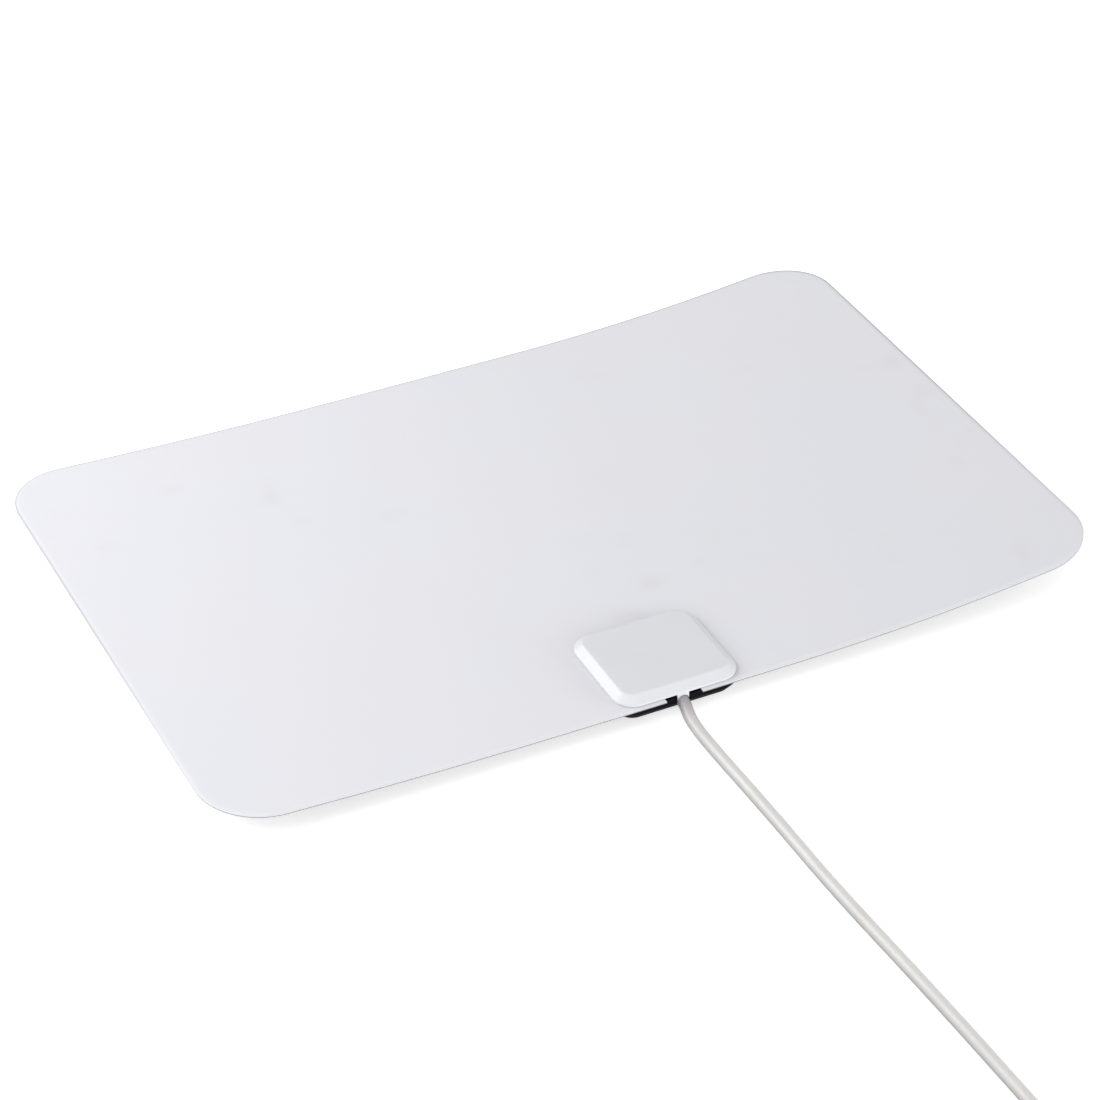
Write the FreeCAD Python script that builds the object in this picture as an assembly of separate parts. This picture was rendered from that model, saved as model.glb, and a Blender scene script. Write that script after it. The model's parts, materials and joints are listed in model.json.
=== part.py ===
"""Flat indoor TV antenna: a bowed laminate panel, a clip-on housing and a coaxial lead with plug.

Units are millimetres.  The head (panel and housing) is drawn in its own panel frame:
X along the panel, Y from the front edge to the rear edge, Z up, z = 0 on the panel's underside.
It is then leaned back to rest on the housing's rear edge and the panel's rear edge.
"""
import FreeCAD, Part
import math
import os

V = FreeCAD.Vector
os.makedirs("parts", exist_ok=True)

# Panel
PANEL_W = 330.0
PANEL_D = 220.0
PANEL_R = 22.5
FRONT_FILM_T = 0.3
REAR_FILM_T = 0.4
PANEL_T = REAR_FILM_T + FRONT_FILM_T
FLAT_LEFT = 33.0
FLAT_RIGHT = 40.0
BOW_LEFT_R = 2370.0
BOW_RIGHT_R = 860.0
EDGE_BEVEL_W = 1.8
EDGE_BEVEL_H = 0.2

# Antenna elements, sealed in pockets of the rear film
FOIL_T = 0.1
BOND_T = 0.1
FOIL_MARGIN = 9.0
FOIL_GAP = 14.0
FOIL_CLEAR = 2.5
TAB_W = 8.0

# Housing outline, shared by both covers
HOUSING_W = 45.6
HOUSING_D = 42.2
HOUSING_R = 7.5
HOUSING_SETBACK = 1.3
FRONT_Y = -PANEL_D / 2 + HOUSING_SETBACK
HOUSING_Y = FRONT_Y + HOUSING_D / 2

# Front cover, above the panel
COVER_FOOT = 0.35
COVER_WALL_H = 1.1
COVER_H = 3.5
COVER_INSET = 2.9
COVER_WALL = 1.6
COVER_ROOF = 1.3
COVER_EDGE_R = 1.3

# Rear cover, below the panel
TRAY_WALL_H = 2.4
TRAY_H = 5.4
TRAY_INSET = 2.5
TRAY_WALL = 1.5
TRAY_FLOOR = 1.1
TRAY_INSIDE = -(TRAY_H - TRAY_FLOOR)

# Pins of the front cover in the sockets of the rear cover
PIN_R = 1.25
PIN_X = 16.0
PIN_DY = 13.0
PIN_SHOULDER_R = 2.3
PIN_DEPTH = 3.0
PIN_CLEAR = 0.05
SOCKET_GAP = 0.3

# Cable and its way out of the housing
CABLE_D = 4.4
CABLE_R = CABLE_D / 2
CABLE_Z = -2.0
JACKET_IN = 8.0
BRAID_R = 1.5
BRAID_L = 4.0
DIELECTRIC_R = 1.1
DIELECTRIC_L = 2.5
CONDUCTOR_R = 0.3
CONDUCTOR_L = 2.5
NOTCH_W = 13.5
NOTCH_IN = 8.5
NOTCH_R = 1.0
TONGUE_CLEAR = 0.05
TONGUE_T = 1.3
TONGUE_DROP = 1.2
CRADLE_W = 9.0
CRADLE_SHORT = 2.0
LEAD_STRAIGHT = 4.0

# Balun board and what it carries
BOARD_W = 26.0
BOARD_T = 1.6
BOARD_REAR = 15.0
BOARD_CLEAR = 0.2
BOARD_SLOT_W = 3.2
POST_R = 1.5
POST_X = 11.0
FERRITE_W = 6.5
FERRITE_L = 5.0
FERRITE_H = 2.2
FERRITE_HOLE_X = 1.6
WINDING_R = 0.5
WINDING_OVER = 1.0
FERRITE_GAP = 2.5
SOLDER_R = 0.9
BRAID_BEAD_X = 2.2
BRAID_BEAD_IN = 0.8
BRAID_BEAD_L = 2.0
RIVET_X = 9.0
RIVET_BACK = 7.0
RIVET_R = 1.0
RIVET_HEAD_R = 1.9
RIVET_HEAD_T = 0.3

# Spare cable: a tied coil of three by three turns
COIL_TURN_R = 23.0
COIL_ACROSS = 3 * CABLE_D
COIL_SLACK = 0.5
COIL_BEVEL = 1.8
COIL_X = -18.7
COIL_Y = -372.0
TAIL_REACH = 59.6
TAIL_ASIDE = 5.0
TIE_W = 6.0
TIE_T = 0.8
TIE_PINCH = 0.3

# Coaxial aerial plug
PLUG_R = 6.5
PLUG_L = 27.0
PLUG_NECK_R = 3.6
PLUG_NECK_L = 5.0
PLUG_NECK_FLARE = 0.6
PLUG_SHOULDER_L = 2.0
PLUG_CHAMFER = 1.0
PLUG_GRIP_START = 9.0
PLUG_GRIP_DEPTH = 0.6
PLUG_GRIP_W = 1.6
PLUG_GRIP_STEP = 3.6
PLUG_GRIPS = 4
SLEEVE_R = 4.75
SLEEVE_BORE_R = 4.15
SHANK_R = 3.8
SHANK_BORE_R = 3.2
FLANGE_T = 1.0
SLEEVE_OUT = 9.5
SLEEVE_IN = 6.0
PLUG_PIN_OUT = 9.0
PLUG_PIN_R = 1.2
PLUG_PIN_TIP_R = 0.5
PLUG_PIN_TIP_L = 1.0

OVER = 5.0
BOW_RISE = 60.0
UP = V(0, 0, 1)
BACK = V(0, 1, 0)


def rounded_wire(w, d, r, cx, cy, z):
    """Closed outline of a rounded rectangle at height z."""
    hw = w / 2
    hd = d / 2
    k = r * (1 - math.sqrt(0.5))
    line = Part.LineSegment
    edges = []
    for sx, sy, turn in ((1, -1, 0), (1, 1, 1), (-1, 1, 0), (-1, -1, 1)):
        on_x = V(cx + sx * (hw - r), cy + sy * hd, z)
        on_y = V(cx + sx * hw, cy + sy * (hd - r), z)
        mid = V(cx + sx * (hw - k), cy + sy * (hd - k), z)
        start, end = (on_y, on_x) if turn else (on_x, on_y)
        if edges:
            edges.append(line(edges[-1].EndPoint, start))
        edges.append(Part.Arc(start, mid, end))
    edges.append(line(edges[-1].EndPoint, edges[0].StartPoint))
    return Part.Wire([e.toShape() for e in edges])


def rounded_prism(w, d, r, cx, cy, z0, z1):
    """Rounded rectangle extruded from z0 to z1."""
    return Part.Face(rounded_wire(w, d, r, cx, cy, z0)).extrude(V(0, 0, z1 - z0))


def tapered(w, d, r, inset, cx, cy, z0, z1):
    """Rounded rectangle drawn in by inset between z0 and z1."""
    foot = rounded_wire(w, d, r, cx, cy, z0)
    head = rounded_wire(w - 2 * inset, d - 2 * inset, r - inset, cx, cy, z1)
    return Part.makeLoft([foot, head], True, True)


def box(x0, x1, y0, y1, z0, z1):
    return Part.makeBox(x1 - x0, y1 - y0, z1 - z0, V(x0, y0, z0))


def bow_point(side, x, z):
    """Point of the panel's section at distance x from the middle, on the layer at height z."""
    flat, radius = (FLAT_RIGHT, BOW_RIGHT_R) if side > 0 else (FLAT_LEFT, BOW_LEFT_R)
    angle = math.asin((x - flat) / (radius - z))
    return V(side * x, -PANEL_D / 2 - OVER, radius - (radius - z) * math.cos(angle))


def bow_edge(z):
    """Section line of one layer from its left end to its right end: arc, straight, arc."""
    end = PANEL_W / 2 + OVER
    y = -PANEL_D / 2 - OVER
    left = V(-FLAT_LEFT, y, z)
    right = V(FLAT_RIGHT, y, z)
    left_mid = bow_point(-1, (FLAT_LEFT + end) / 2, z)
    right_mid = bow_point(1, (FLAT_RIGHT + end) / 2, z)
    left_end = bow_point(-1, end, z)
    right_end = bow_point(1, end, z)
    left_arc = Part.Arc(left_end, left_mid, left)
    right_arc = Part.Arc(right, right_mid, right_end)
    edges = [left_arc, Part.LineSegment(left, right), right_arc]
    return [e.toShape() for e in edges], left_end, right_end


def bowed(z0, z1, outline):
    """Bowed layer between z0 and z1, trimmed to an outline."""
    low, low_left, low_right = bow_edge(z0)
    top, top_left, top_right = bow_edge(z1)
    ends = [Part.LineSegment(low_right, top_right).toShape(), Part.LineSegment(top_left, low_left).toShape()]
    section = Part.Face(Part.Wire(Part.__sortEdges__(low + top + ends)))
    return section.extrude(V(0, PANEL_D + 2 * OVER, 0)).common(outline).removeSplitter()


def thin_edge(film):
    """Film thinned along its cut edge, where the laminate is pressed and sealed."""
    edges = []
    for face in film.Faces:
        if face.normalAt(*face.Surface.parameter(face.CenterOfMass)).z > 0.5:
            edges += face.Edges
    rim = [e for e in edges if sum(e.isSame(other) for other in edges) == 1]
    thinned = film.makeChamfer(EDGE_BEVEL_H, EDGE_BEVEL_W, rim)
    thinned.fix(0.001, 0.0001, 0.01)
    return thinned


def tube(points, radius):
    """Round tube along straight runs joined by tangent arcs; returns the solid, its length and the radii."""
    pts = [V(*p) for p in points]
    runs = [(b - a).Length for a, b in zip(pts, pts[1:])]
    edges = []
    radii = []
    start = pts[0]
    for i in range(1, len(pts) - 1):
        u = (pts[i] - pts[i - 1]).normalize()
        w = (pts[i + 1] - pts[i]).normalize()
        turn = u.getAngle(w)
        back = 0.45 * min(runs[i - 1], runs[i])
        r = back / math.tan(turn / 2)
        a = pts[i] - u * back
        b = pts[i] + w * back
        inward = (w - u).normalize()
        mid = pts[i] + inward * (r / math.cos(turn / 2) - r)
        edges.append(Part.LineSegment(start, a).toShape())
        edges.append(Part.Arc(a, mid, b).toShape())
        radii.append(round(r, 1))
        start = b
    edges.append(Part.LineSegment(start, pts[-1]).toShape())
    path = Part.Wire(edges)
    ring = Part.Wire([Part.makeCircle(radius, pts[0], pts[1] - pts[0])])
    solid = path.makePipeShell([ring], True, True)
    if solid.Volume < 0:
        solid.reverse()
    return solid, path.Length, radii


def turned(profile, at, along):
    """Solid of revolution: profile of (distance, radius) pairs along an axis from a point."""
    pts = [V(r, 0, s) for s, r in profile]
    face = Part.Face(Part.makePolygon(pts + [pts[0]]))
    solid = face.revolve(V(0, 0, 0), UP, 360)
    solid.Placement = FreeCAD.Placement(at, FreeCAD.Rotation(UP, along))
    return solid


# Panel layers
outline = rounded_prism(PANEL_W, PANEL_D, PANEL_R, 0, 0, -OVER, BOW_RISE)
notch_rear = FRONT_Y + NOTCH_IN
notch_mid = (notch_rear - PANEL_D / 2 - OVER) / 2
notch_len = notch_rear + PANEL_D / 2 + OVER
notch = rounded_prism(NOTCH_W, notch_len, NOTCH_R, 0, notch_mid, -OVER, OVER)
pin_spots = [(sx * PIN_X, HOUSING_Y + sy * PIN_DY) for sx in (-1, 1) for sy in (-1, 1)]
rivet_y = HOUSING_Y + RIVET_BACK
rivet_spots = [(-RIVET_X, rivet_y), (RIVET_X, rivet_y)]
pin_holes = [Part.makeCylinder(PIN_R + PIN_CLEAR, 2 * OVER, V(x, y, -OVER), UP) for x, y in pin_spots]
rivet_holes = [Part.makeCylinder(RIVET_R, 2 * OVER, V(x, y, -OVER), UP) for x, y in rivet_spots]

foil_half = PANEL_W / 2 - FOIL_MARGIN - FOIL_GAP / 2
foil_x = FOIL_GAP / 2 + foil_half / 2
foil_d = PANEL_D - 2 * FOIL_MARGIN
keep_out = rounded_prism(
    HOUSING_W + 2 * FOIL_CLEAR, HOUSING_D + 2 * FOIL_CLEAR, HOUSING_R + FOIL_CLEAR,
    0, HOUSING_Y, -OVER, OVER)
foil_bed = REAR_FILM_T - BOND_T - FOIL_T


def foil(side):
    """One antenna element: a plate over its half of the panel, with a tab to its rivet."""
    sheet = rounded_prism(foil_half, foil_d, PANEL_R - FOIL_MARGIN, side * foil_x, 0, -OVER, BOW_RISE)
    tab_rear = HOUSING_Y + HOUSING_D / 2 + 2 * FOIL_CLEAR
    mid = side * RIVET_X
    tab = box(mid - TAB_W / 2, mid + TAB_W / 2, rivet_y, tab_rear, -OVER, OVER)
    pad = Part.makeCylinder(TAB_W / 2, 2 * OVER, V(mid, rivet_y, -OVER), UP)
    shape = sheet.cut(keep_out).fuse([tab, pad])
    pocket = bowed(foil_bed, REAR_FILM_T, shape)
    return bowed(foil_bed, foil_bed + FOIL_T, shape).cut(rivet_holes), pocket


foil_left, pocket_left = foil(-1)
foil_right, pocket_right = foil(1)
cuts = [notch] + pin_holes + rivet_holes
front_film = thin_edge(bowed(REAR_FILM_T, PANEL_T, outline)).cut(cuts)
rear_film = bowed(0.0, REAR_FILM_T, outline).cut(cuts + [pocket_left, pocket_right])

# Front cover
cover_z = PANEL_T
bevel_z = cover_z + COVER_WALL_H
roof_z = cover_z + COVER_H
ceiling_z = roof_z - COVER_ROOF
foot_z = cover_z + COVER_FOOT
foot_w = HOUSING_W - 2 * COVER_FOOT
foot_d = HOUSING_D - 2 * COVER_FOOT
foot = tapered(foot_w, foot_d, HOUSING_R - COVER_FOOT, -COVER_FOOT, 0, HOUSING_Y, cover_z, foot_z)
wall = rounded_prism(HOUSING_W, HOUSING_D, HOUSING_R, 0, HOUSING_Y, foot_z, bevel_z)
bevel = tapered(HOUSING_W, HOUSING_D, HOUSING_R, COVER_INSET, 0, HOUSING_Y, bevel_z, roof_z)
front_cover = foot.fuse([wall, bevel]).removeSplitter()
rim = [e for e in front_cover.Edges if e.BoundBox.ZMin > roof_z - 0.01]
front_cover = front_cover.makeFillet(COVER_EDGE_R, rim)
front_cover = front_cover.cut(tapered(
    HOUSING_W - 2 * COVER_WALL, HOUSING_D - 2 * COVER_WALL, HOUSING_R - COVER_WALL,
    COVER_INSET, 0, HOUSING_Y, cover_z, ceiling_z))
for x, y in pin_spots:
    shoulder = Part.makeCylinder(PIN_SHOULDER_R, ceiling_z + COVER_ROOF / 2 - cover_z, V(x, y, cover_z), UP)
    pin = Part.makeCylinder(PIN_R, PIN_DEPTH + ceiling_z, V(x, y, -PIN_DEPTH), UP)
    front_cover = front_cover.fuse([shoulder, pin])
cable_bore = Part.makeCylinder(CABLE_R, 60.0, V(0, FRONT_Y - 20.0, CABLE_Z), BACK)
tongue_half = CABLE_R - TONGUE_CLEAR
tongue = box(-tongue_half, tongue_half, FRONT_Y, FRONT_Y + TONGUE_T, -TONGUE_DROP, cover_z + COVER_WALL_H)
front_cover = front_cover.fuse(tongue.cut(cable_bore)).removeSplitter()

# Rear cover
tray_wall = rounded_prism(HOUSING_W, HOUSING_D, HOUSING_R, 0, HOUSING_Y, -TRAY_WALL_H, 0.0)
tray_bevel = tapered(HOUSING_W, HOUSING_D, HOUSING_R, TRAY_INSET, 0, HOUSING_Y, -TRAY_WALL_H, -TRAY_H)
tray_outside = tray_wall.fuse(tray_bevel).removeSplitter()
inside_w = HOUSING_W - 2 * TRAY_WALL
inside_d = HOUSING_D - 2 * TRAY_WALL
inside_r = HOUSING_R - TRAY_WALL
hollow = rounded_prism(inside_w, inside_d, inside_r, 0, HOUSING_Y, -TRAY_WALL_H, 0.0)
hollow = hollow.fuse(tapered(
    inside_w, inside_d, inside_r, TRAY_INSET, 0, HOUSING_Y, -TRAY_WALL_H, TRAY_INSIDE))
rear_cover = tray_outside.cut(hollow)
jacket_y = FRONT_Y + JACKET_IN
cradle_front = FRONT_Y + TRAY_WALL / 2
cradle_rear = jacket_y - CRADLE_SHORT
cradle_foot = TRAY_INSIDE - TRAY_FLOOR / 2
cradle = box(-CRADLE_W / 2, CRADLE_W / 2, cradle_front, cradle_rear, cradle_foot, CABLE_Z)
cradle = cradle.common(tray_outside)
board_front = jacket_y + BOARD_CLEAR
board_rear = HOUSING_Y + BOARD_REAR
post_y = board_front + 2 * POST_R
posts = [
    Part.makeCylinder(POST_R, -BOARD_T - TRAY_INSIDE + TRAY_FLOOR / 2,
                      V(sx * POST_X, post_y, TRAY_INSIDE - TRAY_FLOOR / 2), UP)
    for sx in (-1, 1)]
sockets = []
socket_holes = []
socket_r = PIN_SHOULDER_R
for x, y in pin_spots:
    sockets.append(Part.makeCylinder(
        socket_r, -TRAY_INSIDE + TRAY_FLOOR / 2, V(x, y, TRAY_INSIDE - TRAY_FLOOR / 2), UP))
    socket_holes.append(Part.makeCylinder(
        PIN_R + PIN_CLEAR, PIN_DEPTH + SOCKET_GAP, V(x, y, -PIN_DEPTH - SOCKET_GAP), UP))
slot = box(-CABLE_R, CABLE_R, FRONT_Y - 1.0, FRONT_Y + TRAY_WALL + 1.0, CABLE_Z, OVER)
rear_cover = rear_cover.fuse([cradle] + posts + sockets)
rear_cover = rear_cover.cut(socket_holes + [slot, cable_bore]).removeSplitter()

# Stripped end of the cable
braid_y = jacket_y
dielectric_y = braid_y + BRAID_L
conductor_y = dielectric_y + DIELECTRIC_L
cable_braid = Part.makeCylinder(BRAID_R, BRAID_L, V(0, braid_y, CABLE_Z), BACK)
cable_dielectric = Part.makeCylinder(DIELECTRIC_R, DIELECTRIC_L, V(0, dielectric_y, CABLE_Z), BACK)
cable_conductor = Part.makeCylinder(CONDUCTOR_R, CONDUCTOR_L, V(0, conductor_y, CABLE_Z), BACK)

# Balun board, transformer, joints and rivets
balun_board = box(-BOARD_W / 2, BOARD_W / 2, board_front, board_rear, -BOARD_T, 0.0)
slot_rear = conductor_y + BOARD_CLEAR / 2
board_slot = box(
    -BOARD_SLOT_W / 2, BOARD_SLOT_W / 2, board_front - 1.0, slot_rear, -BOARD_T - 1.0, 1.0)
balun_board = balun_board.cut([board_slot] + rivet_holes)
ferrite_front = conductor_y + CONDUCTOR_L + FERRITE_GAP
ferrite_rear = ferrite_front + FERRITE_L
ferrite_core = box(
    -FERRITE_W / 2, FERRITE_W / 2, ferrite_front, ferrite_rear, -BOARD_T - FERRITE_H, -BOARD_T)
wire_z = -BOARD_T - FERRITE_H / 2
wire_front = ferrite_front - WINDING_OVER
wire_rear = ferrite_rear + WINDING_OVER
legs = [
    Part.makeCylinder(WINDING_R, wire_rear - wire_front, V(sx * FERRITE_HOLE_X, wire_front, wire_z), BACK)
    for sx in (-1, 1)]
ferrite_core = ferrite_core.cut(legs)
bars = [
    Part.makeCylinder(WINDING_R, 2 * FERRITE_HOLE_X, V(-FERRITE_HOLE_X, y, wire_z), V(1, 0, 0))
    for y in (wire_front, wire_rear)]
balun_winding = legs[0].fuse([legs[1]] + bars).removeSplitter()


def solder(x, y, length, metal):
    """Half-round bead of solder under the board, around a round conductor."""
    bead = Part.makeCylinder(SOLDER_R, length, V(x, y, -BOARD_T), BACK)
    above = box(x - 2 * SOLDER_R, x + 2 * SOLDER_R, y - 1, y + length + 1, -BOARD_T, 2 * SOLDER_R)
    return bead.cut([above, metal])


core_bead = solder(0, conductor_y + 2 * BOARD_CLEAR, CONDUCTOR_L - 3 * BOARD_CLEAR, cable_conductor)
bead_y = braid_y + BRAID_BEAD_IN
braid_beads = [solder(sx * BRAID_BEAD_X, bead_y, BRAID_BEAD_L, cable_braid) for sx in (-1, 1)]
solder_joints = Part.makeCompound([core_bead] + braid_beads)
rivets = []
for x, y in rivet_spots:
    rivets.append(turned(
        [(-RIVET_HEAD_T, 0), (-RIVET_HEAD_T, RIVET_HEAD_R), (0, RIVET_HEAD_R), (0, RIVET_R),
         (BOARD_T + PANEL_T, RIVET_R), (BOARD_T + PANEL_T, RIVET_HEAD_R),
         (BOARD_T + PANEL_T + RIVET_HEAD_T, RIVET_HEAD_R), (BOARD_T + PANEL_T + RIVET_HEAD_T, 0)],
        V(x, y, -BOARD_T), UP))
contact_rivets = Part.makeCompound(rivets)

# How the head rests: on the rear edge of the housing's base and the rear edge of the panel
base_rear = HOUSING_Y + HOUSING_D / 2 - TRAY_INSET
LEAN = math.atan(TRAY_H / (PANEL_D / 2 - base_rear))
turn = FreeCAD.Rotation(V(1, 0, 0), -math.degrees(LEAN))
lift = PANEL_D / 2 * math.sin(LEAN)
panel_top = bow_point(1, PANEL_W / 2 - PANEL_R, PANEL_T).z
forward = -panel_top * math.sin(LEAN) / 2
rest = FreeCAD.Placement(V(0, forward, lift), turn)
head = {
    "front_film": front_film,
    "rear_film": rear_film,
    "foil_left": foil_left,
    "foil_right": foil_right,
    "front_cover": front_cover,
    "rear_cover": rear_cover,
    "balun_board": balun_board,
    "ferrite_core": ferrite_core,
    "balun_winding": balun_winding,
    "solder_joints": solder_joints,
    "contact_rivets": contact_rivets,
    "cable_braid": cable_braid,
    "cable_dielectric": cable_dielectric,
    "cable_conductor": cable_conductor,
}
pieces = {}
for name, shape in head.items():
    pieces[name] = shape.copy()
    pieces[name].Placement = rest.multiply(shape.Placement)

# Coil, tie, plug and the two visible ends of the cable, all lying on the floor
coil_in = COIL_TURN_R - COIL_ACROSS / 2 - COIL_SLACK
coil_out = COIL_TURN_R + COIL_ACROSS / 2 + COIL_SLACK
coil_h = COIL_ACROSS + COIL_SLACK
coil = turned(
    [(0, coil_in + COIL_BEVEL), (0, coil_out - COIL_BEVEL), (COIL_BEVEL, coil_out),
     (coil_h - COIL_BEVEL, coil_out), (coil_h, coil_out - COIL_BEVEL),
     (coil_h, coil_in + COIL_BEVEL), (coil_h - COIL_BEVEL, coil_in), (COIL_BEVEL, coil_in)],
    V(0, 0, 0), UP)
coil.translate(V(COIL_X, COIL_Y, 0))
tie_y = (COIL_Y + coil_in - TIE_T, COIL_Y + coil_out + TIE_T)
tie_x = (COIL_X - TIE_W / 2, COIL_X + TIE_W / 2)
coil_tie = box(tie_x[0], tie_x[1], tie_y[0], tie_y[1], 0, coil_h + TIE_T)
held_y = (COIL_Y + coil_in + TIE_PINCH, COIL_Y + coil_out - TIE_PINCH)
held = box(tie_x[0], tie_x[1], held_y[0], held_y[1], TIE_T, coil_h - TIE_PINCH)
coil_tie = coil_tie.cut(held)
coax_coil = coil.cut(coil_tie)

inner = rest.multVec(V(0, jacket_y, CABLE_Z))
clear = rest.multVec(V(0, FRONT_Y - LEAD_STRAIGHT, CABLE_Z))
lead = [
    (inner.x, inner.y, inner.z),
    (clear.x, clear.y, clear.z),
    (-2.3, -121.0, 3.6),
    (-1.2, -137.0, CABLE_R),
    (-0.5, -152.0, CABLE_R),
    (0.5, -176.0, CABLE_R),
    (1.6, -212.0, CABLE_R),
    (4.8, -260.0, CABLE_R),
    (7.2, -312.0, CABLE_R),
    (8.5, -347.0, CABLE_R),
    (8.7, COIL_Y + 1.0, CABLE_R),
]
coax_run, lead_length, lead_radii = tube(lead, CABLE_R)
coax_run = coax_run.cut(coil)

outer_turn = COIL_TURN_R + CABLE_D
tail_y = COIL_Y - outer_turn
plug_rear = V(COIL_X - TAIL_REACH, tail_y - TAIL_ASIDE, PLUG_R)
tail = [
    (COIL_X, tail_y, COIL_ACROSS - CABLE_R),
    (COIL_X - 18.0, tail_y - 0.6, 9.8),
    (COIL_X - 38.0, tail_y - 3.4, PLUG_R),
    (plug_rear.x, plug_rear.y, plug_rear.z),
]
coax_tail, tail_length, tail_radii = tube(tail, CABLE_R)
coax_tail = coax_tail.cut(coil)
way = (V(*tail[-1]) - V(*tail[-2])).normalize()

grips = []
for i in range(PLUG_GRIPS):
    s = PLUG_GRIP_START + i * PLUG_GRIP_STEP
    r = PLUG_R - PLUG_GRIP_DEPTH
    grips += [(s, PLUG_R), (s, r), (s + PLUG_GRIP_W, r), (s + PLUG_GRIP_W, PLUG_R)]
profile = [(0, 0), (0, PLUG_NECK_R), (PLUG_NECK_L, PLUG_NECK_R + PLUG_NECK_FLARE)]
profile += [(PLUG_NECK_L + PLUG_SHOULDER_L, PLUG_R)] + grips
profile += [(PLUG_L - PLUG_CHAMFER, PLUG_R), (PLUG_L, PLUG_R - PLUG_CHAMFER)]
profile += [(PLUG_L, SHANK_R), (PLUG_L - SLEEVE_IN, SHANK_R), (PLUG_L - SLEEVE_IN, 0)]
plug_body = turned(profile, plug_rear, way)
seat = plug_rear + way * (PLUG_L - SLEEVE_IN)
sleeve_end = SLEEVE_IN + SLEEVE_OUT
flange = SLEEVE_IN + FLANGE_T
plug_sleeve = turned(
    [(0, SHANK_BORE_R), (0, SHANK_R), (SLEEVE_IN, SHANK_R), (SLEEVE_IN, SLEEVE_R), (sleeve_end, SLEEVE_R),
     (sleeve_end, SLEEVE_BORE_R), (flange, SLEEVE_BORE_R), (flange, SHANK_BORE_R)], seat, way)
plug_insulator = turned(
    [(0, PLUG_PIN_R), (0, SHANK_BORE_R), (flange, SHANK_BORE_R), (flange, PLUG_PIN_R)], seat, way)
pin_end = SLEEVE_IN + PLUG_PIN_OUT
plug_pin = turned(
    [(0, 0), (0, PLUG_PIN_R), (pin_end - PLUG_PIN_TIP_L, PLUG_PIN_R),
     (pin_end, PLUG_PIN_TIP_R), (pin_end, 0)], seat, way)

pieces["coax_run"] = coax_run
pieces["coax_coil"] = coax_coil
pieces["coil_tie"] = coil_tie
pieces["coax_tail"] = coax_tail
pieces["plug_body"] = plug_body
pieces["plug_sleeve"] = plug_sleeve
pieces["plug_insulator"] = plug_insulator
pieces["plug_pin"] = plug_pin

for name, shape in pieces.items():
    shape.exportStep("parts/%s.step" % name)
    print(name, "solids", len(shape.Solids), "volume", round(shape.Volume, 2), "valid", shape.isValid())
print("lean", round(math.degrees(LEAN), 4), "lead", round(lead_length, 1), lead_radii)
print("tail", round(tail_length, 1), tail_radii)
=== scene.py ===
"""Looks of the flat indoor TV antenna: finishes, the coaxial lead, the studio and the camera.

Everything is in metres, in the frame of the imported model: +X along the panel, +Y to the rear, +Z up.
Colours are linear RGB, and noise scales are per metre.
"""
import json
import math
import bpy
from mathutils import Matrix, Vector


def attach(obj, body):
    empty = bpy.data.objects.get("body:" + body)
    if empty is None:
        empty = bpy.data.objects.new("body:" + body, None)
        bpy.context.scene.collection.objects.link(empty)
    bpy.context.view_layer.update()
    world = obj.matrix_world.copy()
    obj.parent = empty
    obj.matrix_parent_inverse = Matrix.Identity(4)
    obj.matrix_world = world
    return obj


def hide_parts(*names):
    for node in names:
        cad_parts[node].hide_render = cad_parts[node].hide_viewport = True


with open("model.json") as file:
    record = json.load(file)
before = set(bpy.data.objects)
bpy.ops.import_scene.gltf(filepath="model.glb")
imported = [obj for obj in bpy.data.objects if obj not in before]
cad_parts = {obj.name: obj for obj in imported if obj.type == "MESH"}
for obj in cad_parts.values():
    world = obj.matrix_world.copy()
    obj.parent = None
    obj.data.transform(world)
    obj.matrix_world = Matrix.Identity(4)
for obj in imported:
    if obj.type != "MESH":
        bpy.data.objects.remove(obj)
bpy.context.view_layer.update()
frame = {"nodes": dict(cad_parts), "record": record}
nodes = frame["nodes"]

# Camera, fitted to the panel's outline in the photograph
CAMERA_AZIMUTH = math.radians(-25.552)
CAMERA_ELEVATION = math.radians(36.698)
CAMERA_ROLL = math.radians(-0.1395)
CAMERA_DISTANCE = 1.27144
CAMERA_TARGET = Vector((0.000492, -0.005311, -0.002703))
CAMERA_LENS = 117.375
CAMERA_SENSOR = 36.0
CAMERA_REACH = 20.0

# Panel outline, and the rim that follows it; the rim's painted shade grows between two places along Y
PANEL_HALF_W = 0.165
PANEL_HALF_D = 0.110
PANEL_CORNER = 0.0225
RIM_WIDTH = 0.0014
RIM_DROP = 0.0003
RIM_SHADE_WIDTH = 0.0011
RIM_SHADE_Y = (-0.09, 0.02)

# White film, with a low specular level, so that the lamps leave no glare on it
FILM_ROUGHNESS = 0.42
FILM_UNEVEN = (0.38, 0.46)
FILM_SPECULAR = 0.05
FILM_WHITES = ((0.688, 0.683, 0.721), (0.683, 0.689, 0.726))
FILM_SMUDGE = (0.668, 0.658, 0.697)
# Painted shade for the rear rim, which faces away from the lamps
FILM_RIM_SHADE = (0.500, 0.503, 0.533)
FILM_CLOUD, FILM_CLOUD_RANGE = 13.0, (0.35, 0.65)
FILM_PATCH, FILM_PATCH_RANGE = 11.0, (0.50, 0.62)
FILM_MARK, FILM_MARK_RANGE = 55.0, (0.55, 0.80)
FILM_GRAIN = 1800.0
FILM_RIPPLE, FILM_RIPPLE_SHARE = 22.0, 2.0
FILM_BUMP, FILM_BUMP_DEPTH = 0.08, 0.0001
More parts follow.
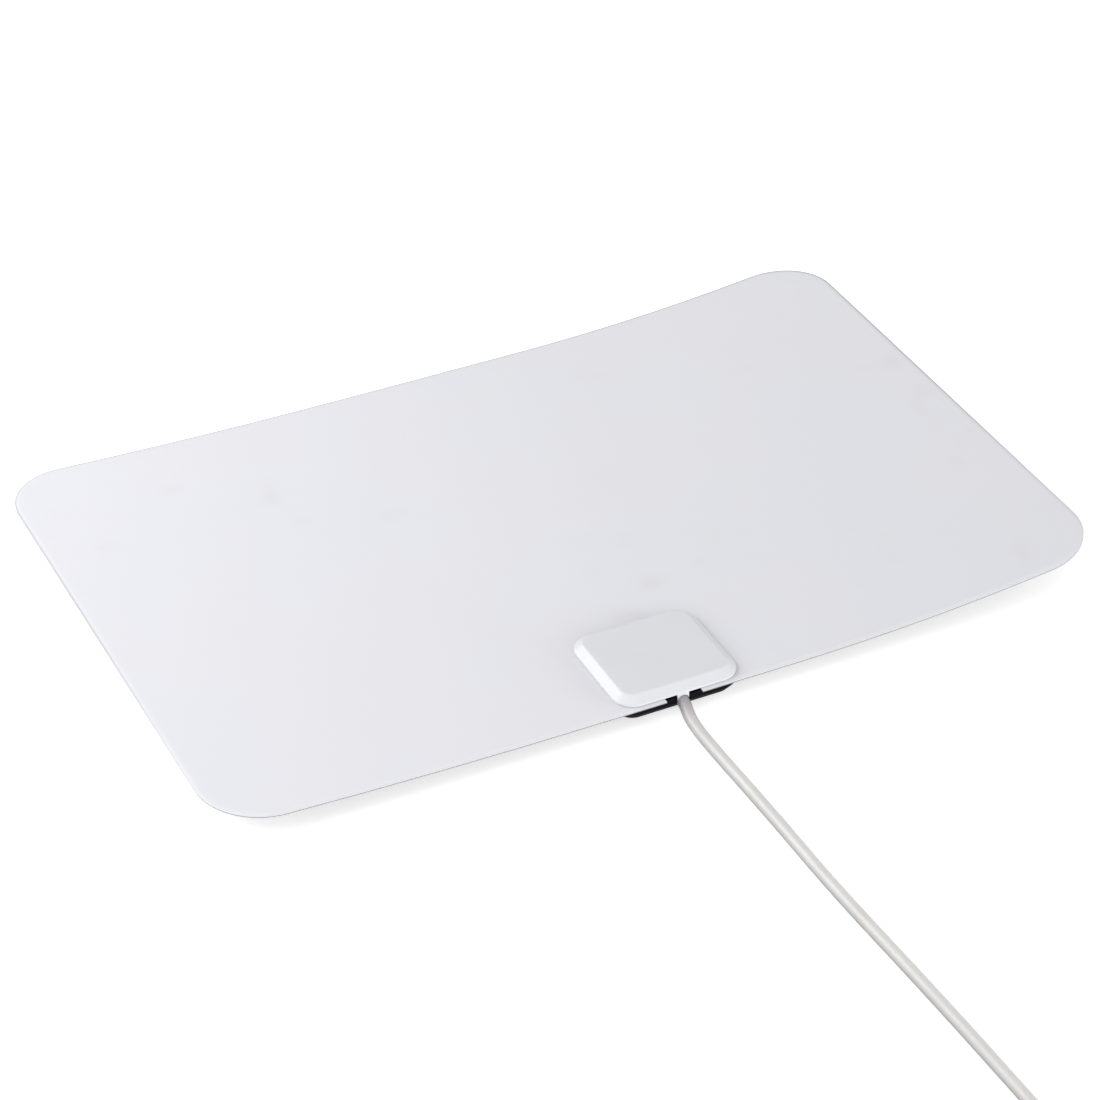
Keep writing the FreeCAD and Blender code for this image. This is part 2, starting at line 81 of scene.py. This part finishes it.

# Cable sheath: painted shade on its lower side fades in between two heights of the normal, and painted
# shadows grow towards the housing, each given by its start and end before the exit and by its amount
JACKET_ROUGHNESS = 0.30
JACKET_UNEVEN = (0.25, 0.33)
JACKET_WHITES = ((0.643, 0.628, 0.611), (0.611, 0.596, 0.580))
# Painted shade for the sheath's lower side
JACKET_UNDERSIDE_SHADE = (0.090, 0.088, 0.086)
JACKET_SHADE_FADE = (-0.35, 0.9)
# Colour of the painted shadow that the tongue casts on the cable near the exit
JACKET_EXIT_SHADOW = (0.250, 0.237, 0.245)
JACKET_SHADOW_NEAR = (0.013, 0.0, 0.6)
JACKET_SHADOW_FARTHER = (0.038, 0.010, 0.19)
JACKET_CLOUD = 120.0
JACKET_GRAIN = 2500.0
JACKET_BUMP, JACKET_BUMP_DEPTH = 0.12, 0.00005

# Range that a noise mostly keeps to
NOISE_RANGE = (0.3, 0.7)

# Moulded plastic: colour, tint, roughness, grain scale and depth, specular level, colour of a cut edge
MOULDED = {
    "white_housing": ((0.638, 0.644, 0.672), (0.650, 0.656, 0.684), 0.36, 5200.0, 0.00003, 0.5),
    "black_housing": ((0.006, 0.006, 0.007), (0.008, 0.008, 0.009), 0.60, 3800.0, 0.00005, 0.02),
    "plug_shell": ((0.520, 0.512, 0.502), (0.485, 0.477, 0.467), 0.40, 3200.0, 0.00005, 0.5),
    "tie_band": ((0.560, 0.555, 0.545), (0.525, 0.520, 0.510), 0.45, 2600.0, 0.00004, 0.5),
    "black_film": ((0.006, 0.006, 0.007), (0.008, 0.008, 0.009), 0.60, 1800.0, 0.00003, 0.02,
                   (0.27, 0.27, 0.28)),
}
MOULDED_CLOUD = 60.0
MOULDED_UNEVEN = 0.05
MOULDED_BUMP = 0.25
CUT_EDGE_RANGE = (0.4, 0.8)

# Speckled solids: colour, tint, roughness, speckle scale
SPECKLED = {
    "cable_foam": ((0.80, 0.80, 0.78), (0.72, 0.72, 0.70), 0.60, 3000.0),
    "board_laminate": ((0.030, 0.130, 0.050), (0.050, 0.180, 0.075), 0.45, 2200.0),
    "ferrite": ((0.040, 0.040, 0.045), (0.075, 0.075, 0.080), 0.55, 2600.0),
}
SPECKLED_SPECULAR = 0.3
SPECKLED_RANGE = (0.4, 0.65)
SPECKLED_BUMP, SPECKLED_BUMP_DEPTH = 0.3, 0.0001

# Brushed metal: colour, tint, roughness, stretch of the lines
BRUSHED = {
    "element_foil": ((0.80, 0.80, 0.81), (0.70, 0.70, 0.72), 0.28, (1.0, 0.05, 1.0)),
    "copper": ((0.78, 0.40, 0.25), (0.68, 0.32, 0.18), 0.30, (1.0, 0.1, 1.0)),
    "tin": ((0.66, 0.66, 0.67), (0.56, 0.56, 0.57), 0.34, (1.0, 0.3, 1.0)),
    "plug_metal": ((0.74, 0.73, 0.71), (0.64, 0.63, 0.61), 0.22, (0.08, 1.0, 1.0)),
}
BRUSHED_STREAK, BRUSHED_RANGE = 900.0, (0.2, 0.8)
BRUSHED_SMOOTHER, BRUSHED_ROUGHER = 0.08, 0.10
BRUSHED_BUMP, BRUSHED_BUMP_DEPTH = 0.15, 0.00005

# Lead: route from the housing to the coil, coil, and tail to the plug
CABLE_DIAMETER = 0.0044
CABLE_EXIT = (0.0, -0.10881, 0.0046)
CABLE_ORDER = 3
CABLE_RESOLUTION = 6
CABLE_ROUNDNESS = 5
LEAD = [
    (0.0, -0.1008, 0.0044),
    (0.0005, -0.1079, 0.0046),
    (-0.0025, -0.1190, 0.0038),
    (-0.0011, -0.1380, 0.0022),
    (-0.0005, -0.1500, 0.0022),
    (0.0004, -0.1740, 0.0022),
    (0.0013, -0.2120, 0.0022),
    (0.0046, -0.2600, 0.0022),
    (0.0072, -0.3120, 0.0022),
    (0.0085, -0.3470, 0.0022),
]
# The coil's bundle: places as (ring, level), in the order in which the strand takes them, and the turns
# at which it starts to step to the next place
COIL_CENTRE = (-0.0187, -0.3720)
COIL_RADII = (0.0186, 0.0230, 0.0274)
COIL_LEVELS = (0.0022, 0.0066, 0.0110)
COIL_PATH = [(2, 0), (1, 0), (0, 0), (0, 1), (0, 2), (1, 2), (1, 1), (2, 1), (2, 2)]
COIL_SHIFTS = (0.75, 1.75, 2.625, 3.625, 4.5, 5.375, 6.25, 7.125)
COIL_SHIFT_LENGTH = 0.25
COIL_TURNS = 8.25
COIL_STEPS = 16
# The strand lifts over the tie's foot, at this part of a turn
TIE_TURN = 0.75
TIE_LIFT = 0.0006
TIE_REACH = 0.12
TAIL = [
    (-0.0367, -0.4000, 0.0098),
    (-0.0567, -0.4028, 0.0065),
    (-0.0783, -0.4044, 0.0065),
]

# Studio; a lamp has its name, azimuth and elevation in degrees, distance, size, power in watts, and
# whether reflections show it
FLOOR_HALF = 5.0
FLOOR_GLOW = 0.55
FLOOR_PALE = ((0.93, 0.93, 0.93), (0.95, 0.95, 0.95))
FLOOR_CLOUD = 3.0
FLOOR_ROUGHNESS = 0.8
FLOOR_SPECULAR = 0.1
WHITE = (1.0, 1.0, 1.0, 1.0)
WORLD_LIGHT = 0.565
LAMP_AIM = Vector((0.0, -0.03, 0.0))
LAMPS = [
    ("front_right", 315, 9, 1.5, 0.45, 7.3, False),
    ("front", 270, 18, 1.5, 0.80, 4.6, False),
    ("rear_left", 135, 35, 0.9, 0.60, 4.1, True),
    ("front_left", 225, 18, 1.5, 0.80, 3.6, False),
    ("right", 0, 18, 1.5, 0.80, 2.8, False),
    ("left", 180, 30, 0.9, 0.60, 2.3, False),
]


def add(tree, kind, inputs=None, **props):
    """New shader node with its properties and inputs set; an input is a value or a socket."""
    node = tree.nodes.new(kind)
    for key, value in props.items():
        setattr(node, key, value)
    for key, value in (inputs or {}).items():
        socket = node.inputs[key]
        if isinstance(value, bpy.types.NodeSocket):
            tree.links.new(value, socket)
        else:
            socket.default_value = value
    return node


def math_node(tree, operation, a, b=0.0):
    return add(tree, "ShaderNodeMath", {0: a, 1: b}, operation=operation).outputs[0]


def axis(tree, vector, letter):
    return add(tree, "ShaderNodeSeparateXYZ", {"Vector": vector}).outputs[letter]


def noise(tree, coords, scale, detail, roughness=0.5):
    inputs = {"Vector": coords, "Scale": scale, "Detail": detail, "Roughness": roughness}
    return add(tree, "ShaderNodeTexNoise", inputs).outputs["Fac"]


def ramp(tree, value, low, high):
    """Maps a range of a value evenly to 0 to 1."""
    inputs = {"Value": value, "From Min": low, "From Max": high}
    return add(tree, "ShaderNodeMapRange", inputs).outputs["Result"]


def spread(tree, value, low, high, to_low=0.0, to_high=1.0):
    """Maps a value smoothly from one range to another."""
    inputs = {"Value": value, "From Min": low, "From Max": high, "To Min": to_low, "To Max": to_high}
    return add(tree, "ShaderNodeMapRange", inputs, interpolation_type="SMOOTHSTEP").outputs["Result"]


def blend(tree, amount, colour_a, colour_b):
    """Mix of two colours, each a socket or an RGB triple."""
    node = tree.nodes.new("ShaderNodeMix")
    node.data_type = "RGBA"
    sockets = {socket.name: socket for socket in node.inputs if socket.enabled}
    tree.links.new(amount, sockets["Factor"])
    for name, value in (("A", colour_a), ("B", colour_b)):
        if isinstance(value, bpy.types.NodeSocket):
            tree.links.new(value, sockets[name])
        else:
            sockets[name].default_value = (*value, 1.0)
    return [out for out in node.outputs if out.enabled][0]


def bump(tree, height, strength, depth, over=None, invert=False):
    """Normal from a height socket, laid over another normal where one is given."""
    inputs = {"Strength": strength, "Distance": depth, "Height": height}
    if over is not None:
        inputs["Normal"] = over
    return add(tree, "ShaderNodeBump", inputs, invert=invert).outputs["Normal"]


def material(name, roughness, metallic=0.0, specular=0.5):
    """Empty material: its tree, its shader and its object coordinates."""
    mat = bpy.data.materials.new(name)
    mat.use_nodes = True
    tree = mat.node_tree
    shader = tree.nodes["Principled BSDF"]
    shader.inputs["Roughness"].default_value = roughness
    shader.inputs["Metallic"].default_value = metallic
    shader.inputs["Specular IOR Level"].default_value = specular
    coords = add(tree, "ShaderNodeTexCoord").outputs["Object"]
    return mat, tree, shader, coords


def link(tree, value, shader, socket):
    tree.links.new(value, shader.inputs[socket])


def normal_height(tree):
    """Height of the surface's normal: 1 facing up, 0 upright, -1 facing down."""
    return axis(tree, add(tree, "ShaderNodeTexCoord").outputs["Normal"], "Z")


def from_rim(tree, coords):
    """Distance outwards from the panel's outline, a rectangle with rounded corners."""
    beyond = []
    for letter, half in (("X", PANEL_HALF_W), ("Y", PANEL_HALF_D)):
        out = math_node(tree, "ABSOLUTE", axis(tree, coords, letter))
        out = math_node(tree, "SUBTRACT", out, half - PANEL_CORNER)
        out = math_node(tree, "MAXIMUM", out, 0.0)
        beyond.append(math_node(tree, "POWER", out, 2.0))
    reach = math_node(tree, "SQRT", math_node(tree, "ADD", *beyond))
    return math_node(tree, "SUBTRACT", reach, PANEL_CORNER)


def white_film():
    """Matt white film: cool white with faint warm smudges, a rounded rim and painted shade along its rear
    rim.
    """
    mat, tree, shader, coords = material("white_film", FILM_ROUGHNESS, specular=FILM_SPECULAR)
    cloud = spread(tree, noise(tree, coords, FILM_CLOUD, detail=3.0), *FILM_CLOUD_RANGE)
    patches = spread(tree, noise(tree, coords, FILM_PATCH, detail=1.0), *FILM_PATCH_RANGE)
    marks_and_shadows = spread(tree, noise(tree, coords, FILM_MARK, detail=1.5), *FILM_MARK_RANGE)
    body = blend(tree, cloud, *FILM_WHITES)
    body = blend(tree, math_node(tree, "MULTIPLY", patches, marks_and_shadows), body, FILM_SMUDGE)
    outward = from_rim(tree, coords)
    # Painted shade: a darker band along the outline that grows towards the rear, where the rim faces away
    # from the lamps
    shaded_rim = spread(tree, outward, -RIM_SHADE_WIDTH, 0.0)
    rear = spread(tree, axis(tree, coords, "Y"), *RIM_SHADE_Y)
    body = blend(tree, math_node(tree, "MULTIPLY", shaded_rim, rear), body, FILM_RIM_SHADE)
    link(tree, body, shader, "Base Color")
    fine = noise(tree, coords, FILM_GRAIN, detail=2.0)
    link(tree, spread(tree, fine, *NOISE_RANGE, *FILM_UNEVEN), shader, "Roughness")
    ripple = noise(tree, coords, FILM_RIPPLE, detail=1.0)
    height = math_node(tree, "ADD", fine, math_node(tree, "MULTIPLY", ripple, FILM_RIPPLE_SHARE))
    grain = bump(tree, height, FILM_BUMP, FILM_BUMP_DEPTH)
    fall = math_node(tree, "POWER", ramp(tree, outward, -RIM_WIDTH, 0.0), 2.0)
    link(tree, bump(tree, fall, 1.0, RIM_DROP, over=grain, invert=True), shader, "Normal")
    return mat


def moulded(name, colour, tint, roughness, grain_scale, grain_depth, specular, cut_edge=None):
    """Moulded plastic: faint cloudy tint, spark-eroded grain and a slightly uneven sheen."""
    mat, tree, shader, coords = material(name, roughness, specular=specular)
    cloud = noise(tree, coords, MOULDED_CLOUD, detail=4.0)
    body = blend(tree, spread(tree, cloud, *NOISE_RANGE), colour, tint)
    if cut_edge:
        flat = math_node(tree, "ABSOLUTE", normal_height(tree))
        body = blend(tree, spread(tree, flat, *CUT_EDGE_RANGE, 1.0, 0.0), body, cut_edge)
    link(tree, body, shader, "Base Color")
    fine = noise(tree, coords, grain_scale, detail=2.0)
    uneven = (roughness - MOULDED_UNEVEN, roughness + MOULDED_UNEVEN)
    link(tree, spread(tree, fine, *NOISE_RANGE, *uneven), shader, "Roughness")
    link(tree, bump(tree, fine, MOULDED_BUMP, grain_depth), shader, "Normal")
    return mat


def speckled(name, colour, tint, roughness, scale):
    """Dull solid with fine speckles, for board, ferrite and foam."""
    mat, tree, shader, coords = material(name, roughness, specular=SPECKLED_SPECULAR)
    dots = noise(tree, coords, scale, detail=4.0, roughness=0.7)
    link(tree, blend(tree, spread(tree, dots, *SPECKLED_RANGE), colour, tint), shader, "Base Color")
    link(tree, bump(tree, dots, SPECKLED_BUMP, SPECKLED_BUMP_DEPTH), shader, "Normal")
    return mat


def brushed(name, colour, tint, roughness, stretch):
    """Metal with fine lines along one axis."""
    mat, tree, shader, coords = material(name, roughness, metallic=1.0)
    lines = add(tree, "ShaderNodeMapping", {"Vector": coords, "Scale": stretch}).outputs["Vector"]
    streak = noise(tree, lines, BRUSHED_STREAK, detail=3.0)
    link(tree, blend(tree, streak, colour, tint), shader, "Base Color")
    uneven = (roughness - BRUSHED_SMOOTHER, roughness + BRUSHED_ROUGHER)
    link(tree, spread(tree, streak, *BRUSHED_RANGE, *uneven), shader, "Roughness")
    link(tree, bump(tree, streak, BRUSHED_BUMP, BRUSHED_BUMP_DEPTH), shader, "Normal")
    return mat


def exit_shadow(tree, along, start, end, amount):
    """Painted shadow on the cable that grows between two distances before its exit."""
    return spread(tree, along, CABLE_EXIT[1] - start, CABLE_EXIT[1] - end, 0.0, amount)


def jacket():
    """Warm white cable sheath with a soft sheen; painted shade below and painted shadow near the housing.
    """
    mat, tree, shader, coords = material("cable_jacket", JACKET_ROUGHNESS)
    cloud = noise(tree, coords, JACKET_CLOUD, detail=4.0)
    upper = blend(tree, spread(tree, cloud, *NOISE_RANGE), *JACKET_WHITES)
    # Painted shade: the sheath darkens as its normal turns downwards
    body = blend(tree, ramp(tree, normal_height(tree), *JACKET_SHADE_FADE), JACKET_UNDERSIDE_SHADE, upper)
    along = axis(tree, coords, "Y")
    # Painted shadow: the cable darkens towards the exit, where the tongue shades it
    marks_and_shadows = [exit_shadow(tree, along, *shadow_span) for shadow_span in (JACKET_SHADOW_NEAR, JACKET_SHADOW_FARTHER)]
    body = blend(tree, math_node(tree, "ADD", *marks_and_shadows), body, JACKET_EXIT_SHADOW)
    link(tree, body, shader, "Base Color")
    link(tree, spread(tree, cloud, *NOISE_RANGE, *JACKET_UNEVEN), shader, "Roughness")
    fine = noise(tree, coords, JACKET_GRAIN, detail=2.0)
    link(tree, bump(tree, fine, JACKET_BUMP, JACKET_BUMP_DEPTH), shader, "Normal")
    return mat


finishes = {"white_film": white_film(), "cable_jacket": jacket()}
for build, table in ((moulded, MOULDED), (speckled, SPECKLED), (brushed, BRUSHED)):
    for name, row in table.items():
        finishes[name] = build(name, *row)
slots = {part["node"]: part["material_slot"] for part in frame["record"]["subparts"]}
for name, node in nodes.items():
    node.material_slots[0].material = finishes[slots[name]]


def coil_points():
    """Turns of the put-away coil, wound clockwise; the strand steps from place to place in its bundle."""
    shrink = math.cos(math.pi / COIL_STEPS)
    points = []
    for step in range(int(COIL_TURNS * COIL_STEPS) + 1):
        turn = step / COIL_STEPS
        ring, level = COIL_PATH[0]
        r = COIL_RADII[ring]
        z = COIL_LEVELS[level]
        for start, (ring, level) in zip(COIL_SHIFTS, COIL_PATH[1:]):
            t = min(max((turn - start) / COIL_SHIFT_LENGTH, 0.0), 1.0)
            t = t * t * (3 - 2 * t)
            r += (COIL_RADII[ring] - r) * t
            z += (COIL_LEVELS[level] - z) * t
        from_tie = abs(turn % 1 - TIE_TURN)
        z += TIE_LIFT * max(0.0, 1 - from_tie / TIE_REACH)
        angle = -2 * math.pi * turn
        x = COIL_CENTRE[0] + r / shrink * math.cos(angle)
        points.append((x, COIL_CENTRE[1] + r / shrink * math.sin(angle), z))
    return points


def lead():
    """The whole coaxial lead as one round cable."""
    points = LEAD + coil_points() + TAIL
    curve = bpy.data.curves.new("coaxial_lead", "CURVE")
    curve.dimensions = "3D"
    spline = curve.splines.new("NURBS")
    spline.points.add(len(points) - 1)
    for point, place in zip(spline.points, points):
        point.co = (*place, 1.0)
    spline.order_u = CABLE_ORDER
    spline.use_endpoint_u = True
    spline.resolution_u = CABLE_RESOLUTION
    curve.bevel_depth = CABLE_DIAMETER / 2
    curve.bevel_resolution = CABLE_ROUNDNESS
    curve.use_fill_caps = True
    cable = bpy.data.objects.new("coaxial_lead", curve)
    bpy.context.collection.objects.link(cable)
    curve.materials.append(finishes["cable_jacket"])
    return cable


cable = lead()
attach(cable, "root")
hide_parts("coax_run", "coax_coil", "coax_tail")


def floor():
    """Plain pale studio table, lit faintly from beneath so that shadows stay light."""
    mesh = bpy.data.meshes.new("floor")
    h = FLOOR_HALF
    mesh.from_pydata([(-h, -h, 0), (h, -h, 0), (h, h, 0), (-h, h, 0)], [], [(0, 1, 2, 3)])
    plane = bpy.data.objects.new("floor", mesh)
    bpy.context.collection.objects.link(plane)
    mat, tree, shader, coords = material("floor", FLOOR_ROUGHNESS, specular=FLOOR_SPECULAR)
    cloud = noise(tree, coords, FLOOR_CLOUD, detail=2.0)
    link(tree, blend(tree, cloud, *FLOOR_PALE), shader, "Base Color")
    shader.inputs["Emission Color"].default_value = WHITE
    shader.inputs["Emission Strength"].default_value = FLOOR_GLOW
    mesh.materials.append(mat)


def area_light(name, azimuth, elevation, distance, size, power, mirrored):
    """Square soft light around the object, facing it; azimuth runs from +X towards +Y.

    A light that isn't mirrored is kept out of reflections, so that it leaves no glare on the sheet.
    """
    az, el = math.radians(azimuth), math.radians(elevation)
    away = Vector((math.cos(az) * math.cos(el), math.sin(az) * math.cos(el), math.sin(el)))
    data = bpy.data.lights.new(name, "AREA")
    data.shape = "SQUARE"
    data.size = size
    data.energy = power
    lamp = bpy.data.objects.new(name, data)
    lamp.visible_glossy = mirrored
    lamp.location = LAMP_AIM + away * distance
    lamp.rotation_euler = away.to_track_quat("Z", "Y").to_euler()
    bpy.context.collection.objects.link(lamp)


def studio():
    """Soft lights around the object, lower at the front and the right, and pale surroundings."""
    scene = bpy.context.scene
    scene.view_settings.view_transform = "Standard"
    world = bpy.data.worlds.new("studio")
    world.use_nodes = True
    surroundings = world.node_tree.nodes["Background"].inputs
    surroundings["Color"].default_value = WHITE
    surroundings["Strength"].default_value = WORLD_LIGHT
    scene.world = world
    for lamp in LAMPS:
        area_light(*lamp)


def camera():
    """Camera at the photograph's place, with its long lens."""
    az, el = CAMERA_AZIMUTH, CAMERA_ELEVATION
    back = Vector((math.sin(az) * math.cos(el), -math.cos(az) * math.cos(el), math.sin(el)))
    right = Vector((math.cos(az), math.sin(az), 0.0))
    up = back.cross(right)
    turned = right * math.cos(CAMERA_ROLL) + up * math.sin(CAMERA_ROLL)
    upright = back.cross(turned)
    place = CAMERA_TARGET + back * CAMERA_DISTANCE
    data = bpy.data.cameras.new("camera")
    data.lens = CAMERA_LENS
    data.sensor_width = CAMERA_SENSOR
    data.clip_end = CAMERA_REACH
    view = bpy.data.objects.new("camera", data)
    view.matrix_world = Matrix.Translation(place) @ Matrix((turned, upright, back)).transposed().to_4x4()
    bpy.context.collection.objects.link(view)
    bpy.context.scene.camera = view


floor()
studio()
camera()

bpy.context.view_layer.update()
